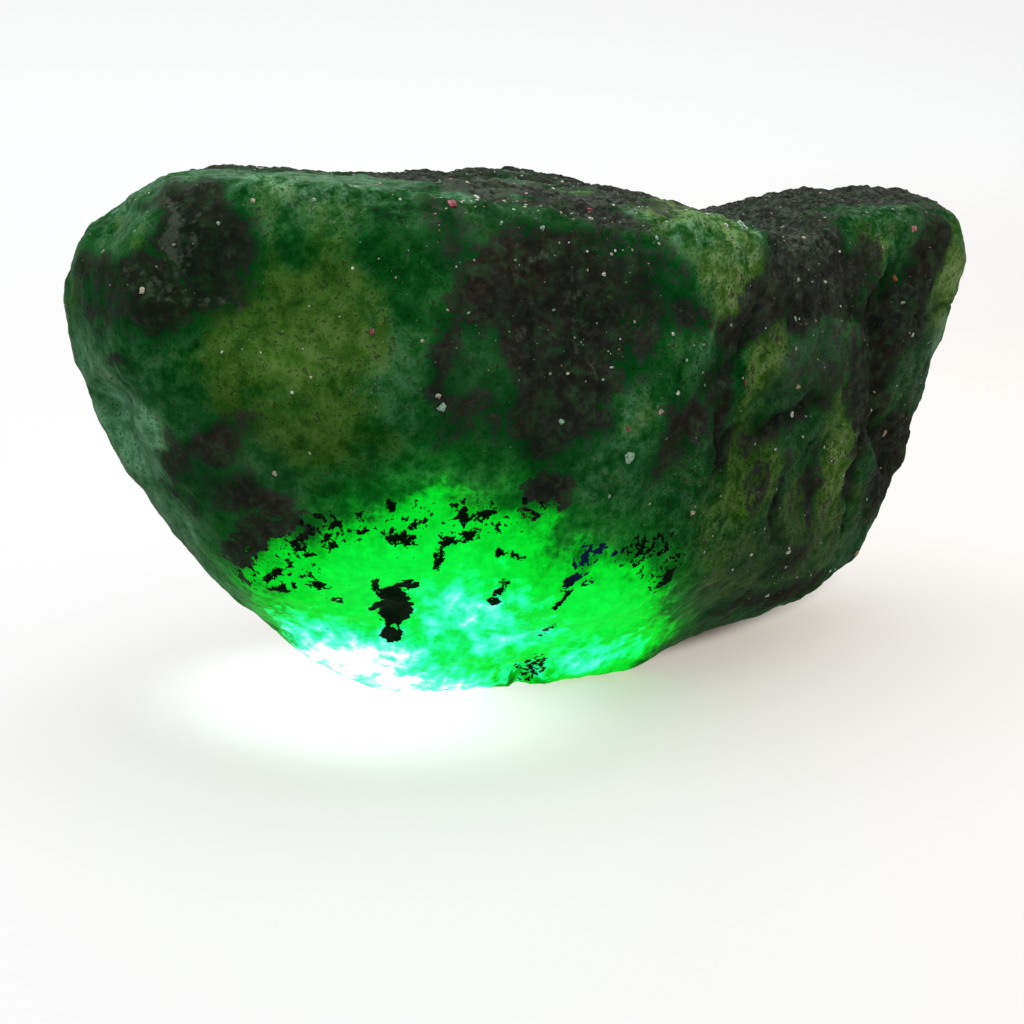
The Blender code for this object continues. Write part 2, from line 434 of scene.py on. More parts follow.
# pale filaments through the schist
filamentZones = {
    "edge": 0.5,
    "front": [
        ("upright one", -27.5, 32.8, 0.5, 1.9, 10, 1.0),
        ("upright two", -26.2, 32.3, 0.3, 1.3, -12, 0.8),
        ("crumble", -29.4, 30.1, 0.9, 0.6, 20, 0.7),
        ("level one", -28.4, 30.2, 1.7, 0.28, -14, 1.0),
        ("level two", -27.2, 29.4, 2.4, 0.26, -5, 1.0),
        ("level three", -24.9, 29.3, 1.5, 0.22, 6, 0.7),
        ("beside the core", -26.6, 31.6, 0.7, 0.9, -20, 0.6),
        ("middle one", -6.8, 31.0, 1.8, 0.5, 25, 0.55),
        ("middle two", -4.2, 28.2, 0.5, 1.6, 20, 0.55),
        ("middle three", -3.4, 24.6, 0.35, 2.0, 35, 0.6),
        ("middle four", -7.4, 26.6, 0.4, 1.5, -25, 0.5),
        ("saddle lip", 14.2, 30.9, 3.6, 0.4, -4, 0.7),
    ],
    "top": [
        ("hump flakes", -5.6, -3.0, 4.6, 1.3, 8, 0.85),
        ("brow flakes", -8.6, -8.2, 3.6, 1.1, 0, 0.9),
        ("cap flakes", 0.4, -8.4, 4.0, 0.9, -5, 0.75),
        ("brow dust", -17.0, -3.2, 6.0, 0.8, 4, 0.6),
        ("knob layers", 21.0, 6.0, 6.0, 0.5, 6, 0.6),
        ("saddle layers", 15.0, 3.0, 4.0, 0.5, 12, 0.6),
    ],
}

vividZones = {
    "edge": 1.8,
    "front": [
        ("cap", 7.4, 30.6, 3.2, 3.0, 0, 1.15),
        ("cap left", 4.0, 32.6, 5.0, 1.7, 0, 1.15),
        ("cap foot", 9.6, 28.0, 1.1, 1.2, 0, 0.8),
        ("below the schist", -1.1, 21.9, 2.7, 1.9, 0, 0.9),
        ("under the brow", -19.9, 34.2, 4.0, 2.0, 0, 0.6),
        ("knob", 22.6, 30.6, 2.4, 2.0, 0, 0.8),
        ("above the light left", -13.9, 19.1, 3.5, 1.5, 0, 0.15),
        ("above the light right", -3.1, 17.7, 2.7, 2.0, 0, 0.25),
        ("right rim", 31.4, 28.0, 2.0, 3.4, 0, 0.7),
        ("bright streak", 19.3, 15.8, 1.4, 4.4, 0, 0.9),
        ("column streak", 10.3, 23.6, 1.1, 2.6, -12, 0.7),
        ("broad column", 8.8, 15.2, 3.4, 3.6, 0, 0.42),
        ("left cheek", -30.4, 25.9, 3.0, 2.6, 0, 0.40),
    ],
    "back": [
        ("back vein", -2.0, 18.0, 6.0, 2.5, 30, 0.8),
    ],
}

deepZones = {
    "edge": 2.2,
    "front": [
        ("left cheek", -30.3, 26.1, 3.8, 3.0, 0, 0.35),
        ("centre streak", -15.4, 31.4, 1.5, 3.6, 0, 1.0),
        ("beside the shoulder", -23.5, 30.0, 0.9, 2.0, 0, 0.9),
        ("lower middle", -16.0, 19.7, 3.6, 2.7, 0, 0.9),
        ("below the tip", -8.7, 19.8, 3.2, 2.0, 0, 0.8),
        ("cap dark", 5.4, 31.7, 1.6, 1.0, 0, 0.8),
        ("column dark", 8.1, 23.0, 1.1, 2.4, 0, 0.8),
        ("under the left cheek", -26.2, 23.4, 2.9, 1.9, 0, 0.7),
        ("behind the cap", 1.8, 29.0, 1.0, 0.9, 0, 0.9),
        ("left foot", -26.6, 16.5, 2.8, 2.9, 0, 0.6),
        ("right wide", 4.9, 13.7, 4.3, 4.3, 0, 0.4),
        ("right of the light", 1.6, 14.6, 3.0, 2.2, 0, 0.6),
        ("shoulder", -27.0, 30.8, 4.2, 3.4, 0, 1.0),
    ],
    "top": [
        ("hump deep", -5.0, 1.0, 7.0, 4.0, 10, 0.6),
    ],
    "back": [
        ("back left deep", -24.0, 22.0, 5.0, 6.0, 0, 0.8),
        ("back middle deep", 8.0, 20.0, 5.0, 4.0, 0, 0.8),
    ],
}

# grey haze over the green, where the rock is half schist, and painted sheen on the top and on the right side
greyAndSheenZones = {
    "edge": 3.5,
    "front": [
        ("shoulder haze", -29.9, 31.0, 1.8, 1.4, 0, 0.3),
        ("brow middle", -9.0, 34.0, 7.0, 1.2, 0, 0.6),
        ("column haze", 15.8, 23.6, 5.0, 4.0, 0, 0.9),
        ("right side", 20.0, 14.0, 9.0, 9.0, 0, 0.5),
        ("right foot haze", 14.0, 8.0, 9.5, 4.5, 15, 0.8),
        ("ribs", 7.0, 17.5, 5.5, 6.0, 0, 0.35),
        ("far right", 28.5, 20.0, 4.0, 8.0, 0, 0.7),
        ("knob", 24.0, 30.0, 7.0, 3.0, 0, 0.35),
        ("saddle", 14.9, 28.6, 7.5, 3.6, 0, 1.0),
        ("window", -10.5, 24.6, 2.4, 2.4, 0, 0.4),
        ("vein haze", -24.0, 17.5, 4.0, 4.5, 30, 0.3),
        ("lower left rim", -24.6, 9.6, 4.0, 1.6, -45, 0.1),
    ],
    "top": [
        ("brow", -18.0, -7.0, 12.0, 3.0, 4, 0.7),
        ("hump", -3.0, 0.0, 13.0, 9.0, 0, 0.8),
        ("knob", 20.0, 8.0, 14.0, 10.0, 0, 0.6),
    ],
    "back": [
        ("back haze", 0.0, 20.0, 24.0, 12.0, 0, 0.55),
    ],
}

# where the layers stand on edge and show as upright streaks
flankZones = {
    "edge": 5.0,
    "front": [
        ("right flank", 17.0, 19.5, 15.0, 14.5, 0, 1.0),
    ],
    "top": [
        ("top layers", 8.0, 2.0, 26.0, 12.0, 0, 0.8),
    ],
    "back": [
        ("back layers", 18.0, 18.0, 16.0, 16.0, 0, 0.9),
        ("back left layers", -16.0, 18.0, 8.0, 12.0, 0, 0.6),
    ],
}

inclusionZones = {
    "edge": 0.6,
    "front": [
        ("main body", -14.6, 8.9, 1.1, 1.6, 8, 1.0),
        ("main top", -15.1, 10.3, 0.8, 0.9, 0, 1.0),
        ("main foot", -14.8, 6.8, 0.8, 0.8, 0, 1.0),
        ("main arm", -14.3, 11.0, 0.9, 0.45, -10, 1.0),
        ("main hook", -16.2, 11.2, 0.35, 0.6, 10, 0.9),
        ("main side", -15.9, 9.2, 0.5, 0.45, 0, 0.9),
        ("tall", -12.5, 13.1, 0.4, 0.9, 0, 1.0),
        ("high", -11.1, 15.8, 0.3, 0.7, 0, 1.0),
        ("high right", -9.8, 16.0, 0.9, 0.25, -10, 0.9),
        ("high low", -10.5, 14.6, 0.7, 0.4, 30, 1.0),
        ("left of high", -11.9, 14.1, 0.7, 0.3, -15, 1.0),
        ("dot", -8.8, 13.3, 0.3, 0.4, 0, 1.0),
        ("thin", -7.6, 13.0, 0.9, 0.25, -20, 1.0),
        ("fork", -8.4, 10.7, 0.4, 1.1, -10, 0.9),
        ("fork foot", -8.6, 9.6, 0.8, 0.3, -10, 0.9),
        ("crack upper", -3.6, 10.9, 1.1, 0.4, 48, 1.0),
        ("crack side", -2.6, 10.6, 0.9, 0.35, 10, 0.8),
        ("crack middle", -4.1, 9.1, 1.2, 0.3, 60, 1.0),
        ("crack lower", -4.2, 6.3, 1.1, 0.35, 75, 0.8),
        ("crack foot", -4.2, 1.9, 1.1, 1.7, 0, 0.66),
        ("navy patch", -2.8, 12.6, 1.5, 1.0, 25, 0.62),
        ("right specks", 0.8, 12.2, 2.3, 1.3, 0, 0.52),
        ("right notch", 3.4, 9.7, 0.5, 1.2, -30, 0.9),
        ("upper dot", -15.7, 16.8, 0.4, 0.6, 0, 0.9),
        ("upper left specks", -19.3, 15.0, 3.0, 1.6, 20, 0.52),
        ("upper specks", -11.0, 15.8, 6.0, 1.7, 0, 0.42),
        ("far right specks", 2.8, 11.2, 2.0, 2.4, 0, 0.50),
        ("rim specks", -21.6, 12.0, 2.4, 2.0, 0, 0.46),
        ("left dash", -22.2, 12.0, 0.8, 0.4, 25, 0.9),
        ("left dash low", -22.0, 10.8, 0.6, 0.6, 0, 0.8),
        ("left hook", -19.8, 11.3, 0.9, 0.4, -20, 0.85),
        ("centre specks", -15.1, 14.6, 1.5, 0.6, -10, 0.8),
        ("left low dash", -18.4, 9.8, 0.8, 0.4, -15, 0.7),
    ],
}

# inclusions here are dark blue, not black
navyZones = {
    "edge": 1.5,
    "front": [
        ("navy patch", -2.8, 12.8, 2.4, 2.0, 25, 1.0),
    ],
}

# How far the painted glow of a lamp under the base reaches through the stone: the centre and radii of each lobe.
lightLobes = {
    "lit": [
        ("main lobe", (-13.0, -9.0, 7.0), (10.5, 12.0, 12.0)),
        ("left lobe", (-19.0, -9.0, 9.9), (5.6, 7.0, 5.9)),
        ("right lobe", (-3.6, -9.0, 6.2), (7.9, 9.0, 7.6)),
        ("right foot", (0.0, -4.0, 3.0), (6.5, 6.0, 5.0)),
        ("spur", (-12.8, -13.0, 14.8), (2.4, 5.0, 3.9)),
        ("high middle", (-8.6, -13.0, 12.6), (3.6, 5.0, 3.8)),
    ],
    "unlit": [
        ("left rim", (-25.3, -4.5, 9.6), (2.9, 5.0, 3.6)),
    ],
    "hot": [
        ("white heart", (-16.6, -4.5, 2.8), (7.8, 7.4, 6.4)),
        ("heart foot", (-13.6, -3.4, 0.6), (7.8, 6.0, 5.2)),
        ("pale middle", (-9.8, -12.0, 7.2), (4.2, 3.4, 4.2)),
        ("pale arm", (-7.2, -9.4, 5.4), (3.8, 3.2, 3.0)),
        ("right foot line", (-1.2, -5.4, 2.4), (3.8, 3.0, 1.8)),
        ("crack foot", (-3.8, -5.0, 1.4), (1.6, 2.4, 2.0)),
    ],
}

# The zones' outlines wander from plain ovals by about this much.
wander = {
    "broad size": 5.0,
    "broad reach": 0.5,
    "fine size": 1.6,
    "fine reach": 0.45,
    "inclusion share": 0.25,
    "seed": 4,  # not 0, which would start from the clock
}


def surfacePlaces(mesh):
    count = len(mesh.vertices)
    places = np.empty(count * 3, np.float32)
    facings = np.empty(count * 3, np.float32)
    mesh.vertices.foreach_get("co", places)
    mesh.vertex_normals.foreach_get("vector", facings)
    return places.reshape(-1, 3) / mm, facings.reshape(-1, 3)


def softened(mesh, vectors, rounds):
    # Evens the vectors out over neighbouring points, so that small wrinkles don't count.
    ends = np.empty(len(mesh.edges) * 2, np.int32)
    mesh.edges.foreach_get("vertices", ends)
    here = np.concatenate([ends[0::2], ends[1::2]])
    there = np.concatenate([ends[1::2], ends[0::2]])
    neighbours = np.maximum(np.bincount(here, minlength=len(vectors)), 1)
    for _ in range(rounds):
        sums = [np.bincount(here, weights=vectors[there, part], minlength=len(vectors)) for part in range(3)]
        vectors = (vectors + np.stack(sums, axis=1) / neighbours[:, None]) / 2.0
    return vectors / np.linalg.norm(vectors, axis=1)[:, None]


def wandered(places):
    # Shifts each place a little, so that no zone keeps a plain oval outline.
    noise.seed_set(wander["seed"])
    moved = places.copy()
    for row, place in enumerate(places):
        point = Vector(place)
        moved[row] += np.array(noise.noise_vector(point / wander["broad size"])) * wander["broad reach"] * 2
        moved[row] += np.array(noise.noise_vector(point / wander["fine size"])) * wander["fine reach"] * 2
    return moved


def zoneField(zones, places, facings):
    total = np.zeros(len(places))
    for sideName, side in sides.items():
        across = places @ np.array(side["across"], float)
        up = places @ np.array(side["up"], float)
        turned = np.clip((facings @ np.array(side["facing"], float) + 0.1) / 0.45, 0.0, 1.0)
        field = np.zeros(len(places))
        for _, middleAcross, middleUp, halfWidth, halfHeight, tilt, strength in zones.get(sideName, []):
            turn = math.radians(tilt)
            right = across - middleAcross
            high = up - middleUp
            along = (right * math.cos(turn) + high * math.sin(turn)) / halfWidth
            over = (high * math.cos(turn) - right * math.sin(turn)) / halfHeight
            depth = (1.0 - np.hypot(along, over)) * min(halfWidth, halfHeight)
            soft = min(zones["edge"], 1.7 * min(halfWidth, halfHeight))
            inside = np.clip(depth / soft + 0.5, 0.0, 1.0)
            if strength > 0:
                field = np.maximum(field, inside * strength)
            else:
                field = field * (1.0 + strength * inside)
        total = np.maximum(total, field * turned)
    return total


def lobeDepth(lobes, places):
    # How deep each place lies inside the nearest lobe, in millimetres, and below 0 outside
    best = np.full(len(places), -20.0)
    for _, centre, radii in lobes:
        reach = np.linalg.norm((places - np.array(centre)) / np.array(radii), axis=1)
        best = np.maximum(best, (1.0 - reach) * np.prod(radii) ** (1.0 / 3.0))
    return best


def writeField(mesh, name, values):
    attribute = mesh.attributes.new(name, "FLOAT", "POINT")
    attribute.data.foreach_set("value", values.astype(np.float32))


def markRock(piece):
    places, facings = surfacePlaces(piece.data)
    facings = softened(piece.data, facings, 80)
    moved = wandered(places)
    nudged = places + (moved - places) * wander["inclusion share"]
    zoneLists = {
        "schist": schistZones,
        "olive": oliveZones,
        "milky": paleAndSheenZones,
        "vivid": vividZones,
        "deep": deepZones,
        "grey": greyAndSheenZones,
        "flank": flankZones,
        "filament": filamentZones,
        "navy": navyZones,
        "grains": grainZones,
    }
    for name, zones in zoneLists.items():
        writeField(piece.data, name, zoneField(zones, moved, facings))
    writeField(piece.data, "inclusion", zoneField(inclusionZones, nudged, facings))
    writeField(piece.data, "level", np.clip((facings[:, 2] - 0.45) / 0.35, 0.0, 1.0))
    lit = np.minimum(lobeDepth(lightLobes["lit"], moved), -lobeDepth(lightLobes["unlit"], moved) * 0.5)
    writeField(piece.data, "lit", lit)
    writeField(piece.data, "hot", lobeDepth(lightLobes["hot"], moved))


# Swells, cracks and steps too small for the solid: how far each reaches to either side, its rise, and its line.
relief = {
    "brow ridge": (1.5, 0.55, [
        (-29.8, -5.4, 34.8), (-27.9, -7.6, 35.3), (-26.3, -9.5, 35.3), (-23.2, -11.6, 35.4), (-20.1, -12.1, 35.3),
        (-16.6, -12.2, 35.0), (-13.0, -12.3, 34.6), (-10.2, -13.0, 34.2), (-7.2, -13.5, 33.7), (-3.9, -12.8, 33.2),
        (-1.1, -12.2, 33.0), (1.6, -11.9, 32.9), (4.8, -10.5, 33.0), (7.1, -9.4, 32.4), (8.8, -9.1, 31.7),
    ]),
    "knob ridge": (1.5, 0.5, [
        (16.5, -3.4, 31.3), (19.9, -1.6, 31.9), (23.9, 0.3, 32.3), (28.2, 2.6, 31.9), (31.0, 4.5, 31.2),
    ]),
    "crest hollow": (5.5, -0.95, [(-15.5, 6.8, 36.0), (-10.4, 6.5, 36.1)]),
    "hump hollow": (5.0, -0.6, [(-4.6, 10.3, 35.8), (0.6, 9.2, 35.5), (6.5, 4.5, 34.3)]),
    "cap hollow": (3.4, -0.5, [(-2.0, -11.6, 33.3), (2.6, -11.2, 33.1)]),
    "knob hollow": (3.5, -0.45, [(13.8, 12.1, 33.3), (17.0, 12.0, 33.6)]),
    "foot notch": (1.7, -1.2, [(-5.6, -4.9, 1.9), (-4.6, -4.0, 0.8)]),
    "corner cut": (3.5, -0.8, [(-29.6, -6.4, 34.6), (-31.2, -5.2, 33.4)]),
    "right rim swell": (6.0, 0.30, [(32.5, 5.0, 30.0), (33.2, 6.0, 26.0)]),
    "right rim hollow": (4.5, -0.3, [(31.6, 6.5, 18.5), (30.6, 6.2, 16.8)]),
    "right foot hollow": (3.0, -0.35, [(29.0, 6.0, 10.5), (27.4, 5.4, 8.0)]),
    "left edge hollow": (5.5, -0.40, [(-32.9, -2.8, 23.4), (-32.4, -2.0, 20.7)]),
    "left notch": (1.0, -0.4, [(-32.4, 1.5, 21.8), (-31.8, -2.5, 21.2)]),
    "saddle hollow": (7.0, -0.5, [(11.0, 9.0, 33.5), (16.0, 11.5, 33.5), (20.0, 11.0, 34.0)]),
    "split beside the right column": (1.4, -1.2, [
        (26.6, 0.8, 28.4), (22.7, -1.9, 26.4), (24.2, 0.0, 17.2), (27.3, 3.8, 13.1),
    ]),
    "rib groove": (1.0, -0.65, [(10.8, -8.9, 19.0), (9.0, -9.5, 16.5), (9.9, -8.6, 13.5)]),
    "second rib groove": (0.9, -0.5, [(13.6, -6.6, 17.0), (13.2, -6.0, 13.0), (13.6, -5.2, 10.0)]),
    "middle groove": (1.0, -0.6, [(16.4, -5.0, 16.6), (16.3, -4.6, 13.5), (16.9, -3.8, 10.0)]),
    "right streak groove": (0.9, -0.55, [(21.6, -1.8, 18.0), (21.5, -1.0, 13.5), (22.2, 0.2, 9.0)]),
    "turn groove": (1.1, -0.6, [(9.4, -9.9, 26.6), (6.7, -10.9, 23.0), (6.4, -11.4, 20.3), (7.2, -10.4, 16.7)]),
    "column ledge": (1.2, -0.6, [(8.1, -9.9, 18.6), (12.0, -8.3, 19.0), (17.1, -5.5, 20.2)]),
    "ledge under the saddle": (1.3, -0.55, [(11.5, -8.5, 26.6), (14.8, -7.2, 26.2), (19.2, -4.4, 25.8), (23.0, -1.6, 25.6)]),
    "step on the rim": (0.7, -0.5, [(27.2, 1.4, 25.4), (30.4, 4.2, 24.8), (32.8, 6.8, 24.6)]),
    "shoulder step": (0.9, -0.2, [(-31.9, -4.5, 21.4), (-26.9, -12.9, 27.0)]),
    "back ledge": (1.5, -0.55, [
        (-26.0, 5.2, 30.0), (-20.0, 9.5, 27.0), (-15.0, 12.3, 22.5), (-8.0, 13.9, 22.0), (-3.0, 14.9, 19.5),
        (4.0, 15.9, 19.8), (9.0, 16.2, 22.0),
    ]),
    "back groove": (1.2, -0.4, [(-24.0, 7.1, 18.0), (-18.5, 8.5, 15.4), (-15.0, 9.2, 12.0), (-9.0, 10.6, 10.6)]),
    "back split": (1.2, -0.6, [
        (26.0, 14.4, 27.0), (20.0, 16.4, 22.0), (15.0, 15.9, 17.0), (11.0, 14.0, 11.0), (8.0, 12.5, 6.0),
    ]),
    "back swell": (3.0, 0.45, [(-16.0, 10.5, 30.0), (-9.0, 13.1, 28.0), (0.0, 14.4, 27.5), (7.0, 13.7, 29.0)]),
    "back rib": (1.0, -0.4, [(28.0, 13.2, 18.0), (24.0, 12.4, 12.0)]),
    "crack in the light": (0.45, -0.35, [(-1.5, -12.6, 13.2), (-3.6, -11.8, 10.7), (-4.1, -10.9, 9.1), (-4.3, -8.8, 6.0)]),
}


# The underside to the right of the base rises clear of the floor over this stretch.
underside = {"starts": 4.0, "full from": 12.5, "full to": 21.0, "ends": 30.0, "rise": 1.4, "fades by": 10.0}


def smooth(values, low, high):
    share = np.clip((values - low) / (high - low), 0.0, 1.0)
    return share * share * (3.0 - 2.0 * share)


def liftUnderside(places):
    across, up = places[:, 0], places[:, 2]
    stretch = smooth(across, underside["starts"], underside["full from"])
    stretch = stretch * (1.0 - smooth(across, underside["full to"], underside["ends"]))
    lifted = places.copy()
    lifted[:, 2] += underside["rise"] * stretch * (1.0 - smooth(up, 0.0, underside["fades by"]))
    return lifted


def shapeRelief(piece):
    places, facings = surfacePlaces(piece.data)
    moved = wandered(places)
    rise = np.zeros(len(places))
    hollow = np.zeros(len(places))
    for halfWidth, height, line in relief.values():
        nearest = np.full(len(places), np.inf)
        for start, end in zip(np.array(line, float), np.array(line[1:], float)):
            run = end - start
            share = np.clip((moved - start) @ run / (run @ run), 0.0, 1.0)
            nearest = np.minimum(nearest, np.linalg.norm(moved - start - share[:, None] * run, axis=1))
        inside = np.clip(1.0 - nearest / halfWidth, 0.0, 1.0)
        rise += height * smooth(inside, 0.0, 1.0)
        # narrow grooves and cracks are marked as hollows, which the stone's colour makes darker as painted shade
        if halfWidth < 2.0:
            hollow = np.maximum(hollow, inside * (height < 0))
    places = liftUnderside(places + facings * rise[:, None])
    piece.data.vertices.foreach_set("co", (places * mm).astype(np.float32).ravel())
    piece.data.update()
    writeField(piece.data, "hollow", hollow)


roughness = {
    "Swell": 0.10,
    "Lump Size": 3.2,
    "Lump Height": 0.18,
    "Rib Pitch": 1.5,
    "Rib Height": 0.13,
    "Chip Size": 1.7,
    "Chip Depth": 0.34,
    "Crumb Size": 0.7,
    "Crumb Height": 0.18,
    "Seed": 3,
}


def alongLayers(bench, place, layers, pitch, reach):
    # Squeezes a pattern to the pitch across the schist layers and draws it out to the reach along them.
    facing = tuple(stoneMesh[layers])
    across = bench.vector("DOT_PRODUCT", place, facing)
    squeezed = bench.scaled(facing, across * (1.0 / pitch - 1.0 / reach))
    return bench.vector("ADD", bench.scaled(place, 1.0 / reach), squeezed)


def layeredCloud(bench, place, flank, level, pitch, reach, roughness, seed):
    # Streaks that stand upright on the flank and run level over the top. Elsewhere the pattern is even.
    upright = bench.cloud(alongLayers(bench, place, "upright layers", pitch, reach), 1.0, 3.0, roughness, seed)
    lying = bench.cloud(alongLayers(bench, place, "level layers", pitch, reach), 1.0, 3.0, roughness, seed)
    even = bench.cloud(place, 1.0 / (pitch * 1.5), 3.0, roughness, seed)
    return even + (upright + (lying - upright) * level - even) * flank


def namedField(bench, name):
    return bench.node("GeometryNodeInputNamedAttribute", {"data_type": "FLOAT"}, {"Name": name}, "Attribute")


def roughTree():
    kinds = {name: "Int" if name == "Seed" else "Float" for name in roughness}
    kinds["Material"] = "Material"
    tree, bench, given = newTree("roughSurface", kinds)
    position = bench.node("GeometryNodeInputPosition")
    normal = bench.node("GeometryNodeInputNormal")
    schist = namedField(bench, "schist")
    flank = namedField(bench, "flank")
    place = bench.scaled(position, 1.0 / mm)
    seed = given["Seed"]

    lump = bench.cloud(place, 1.0 / given["Lump Size"], 3.0, 0.5, seed) - 0.5
    level = namedField(bench, "level")
    rib = layeredCloud(bench, place, flank, level, given["Rib Pitch"], given["Rib Pitch"] * 4.0, 0.55, seed) - 0.5
    chipPlace = bench.scaled(place, 1.0 / given["Chip Size"])
    chip = bench.node(
        "ShaderNodeTexVoronoi", {"feature": "SMOOTH_F1"}, {"Vector": chipPlace, "Scale": 1.0, "Smoothness": 0.35}, "Distance"
    )
    crumb = bench.cloud(place, 1.0 / given["Crumb Size"], 2.0, 0.6, seed) - 0.5

    milky = namedField(bench, "milky")
    height = lump * given["Lump Height"]
    height = height + rib * given["Rib Height"] * (flank + 0.06)
    height = height + (chip - 0.45) * given["Chip Depth"] * (schist * 0.3 + flank * 0.5 + 0.5)
    height = height + crumb * given["Crumb Height"] * (schist * 0.6 + flank * 0.5 + level * 0.6 + 0.3)
    height = height * (1.0 - milky * 0.55) + given["Swell"]
    offset = bench.scaled(normal, height * mm)
    target = bench.vector("MAXIMUM", bench.vector("ADD", position, offset), (-1.0, -1.0, 0.0))
    moved = bench.node("GeometryNodeSetPosition", None, {"Geometry": given["Geometry"], "Position": target})
    moved = bench.node("GeometryNodeSetShadeSmooth", None, {"Geometry": moved, "Shade Smooth": True})
    finishTree(bench, moved, given["Material"])
    return tree


# Stone colours

rock = {
    # from the deepest to the palest
    "cool green": [
        (0.00, (0.0006, 0.020, 0.003)),
        (0.25, (0.0016, 0.047, 0.005)),
        (0.42, (0.0065, 0.069, 0.012)),
        (0.60, (0.0230, 0.104, 0.030)),
        (0.80, (0.0500, 0.150, 0.064)),
        (1.00, (0.1080, 0.270, 0.138)),
    ],
    "olive green": [
        (0.00, (0.0030, 0.018, 0.001)),
        (0.25, (0.0100, 0.045, 0.003)),
        (0.45, (0.0260, 0.080, 0.008)),
        (0.60, (0.0440, 0.110, 0.015)),
        (0.80, (0.0800, 0.160, 0.034)),
        (1.00, (0.1450, 0.230, 0.080)),
    ],
    "schist": [
        (0.00, (0.0055, 0.0060, 0.0050)),
        (0.35, (0.0110, 0.0118, 0.0100)),
        (0.60, (0.0195, 0.0205, 0.0175)),
        (0.80, (0.0330, 0.0360, 0.0310)),
        (1.00, (0.0680, 0.0780, 0.0640)),
    ],
    "schist brown": (0.0250, 0.0165, 0.0150),
    "schist green": (0.0060, 0.0420, 0.0110),
    "deep schist": (0.0015, 0.0085, 0.0030),
    "shade": (0.0016, 0.022, 0.005),
    "filament": (0.062, 0.076, 0.058),
    "grey haze": (0.036, 0.046, 0.031),
    "fleck": (0.0012, 0.008, 0.0015),
    "inclusion": (0.0006, 0.006, 0.0008),
    "navy": (0.0030, 0.012, 0.040),
}

# Lamplight by its depth inside the lit lobes, from 4 mm outside them to 8 mm inside
lamp = {
    "from": -4.0,
    "to": 8.0,
    "stops": [
        (0.00, (0.0, 0.0, 0.0)),
        (0.12, (0.0, 0.018, 0.001)),
        (0.23, (0.0, 0.055, 0.002)),
        (0.30, (0.0, 0.120, 0.003)),
        (0.36, (0.0, 0.400, 0.008)),
        (0.44, (0.0, 0.680, 0.018)),
        (0.60, (0.001, 0.820, 0.038)),
        (1.00, (0.002, 0.900, 0.060)),
    ],
    "hot from": -1.0,
    "hot to": 5.0,
    "hot stops": [
        (0.00, (0.002, 0.86, 0.05)),
        (0.25, (0.006, 0.91, 0.18)),
        (0.50, (0.03, 0.96, 0.50)),
        (0.70, (0.12, 1.00, 0.70)),
        (0.84, (0.45, 1.05, 0.88)),
        (1.00, (1.10, 1.15, 1.10)),
    ],
}


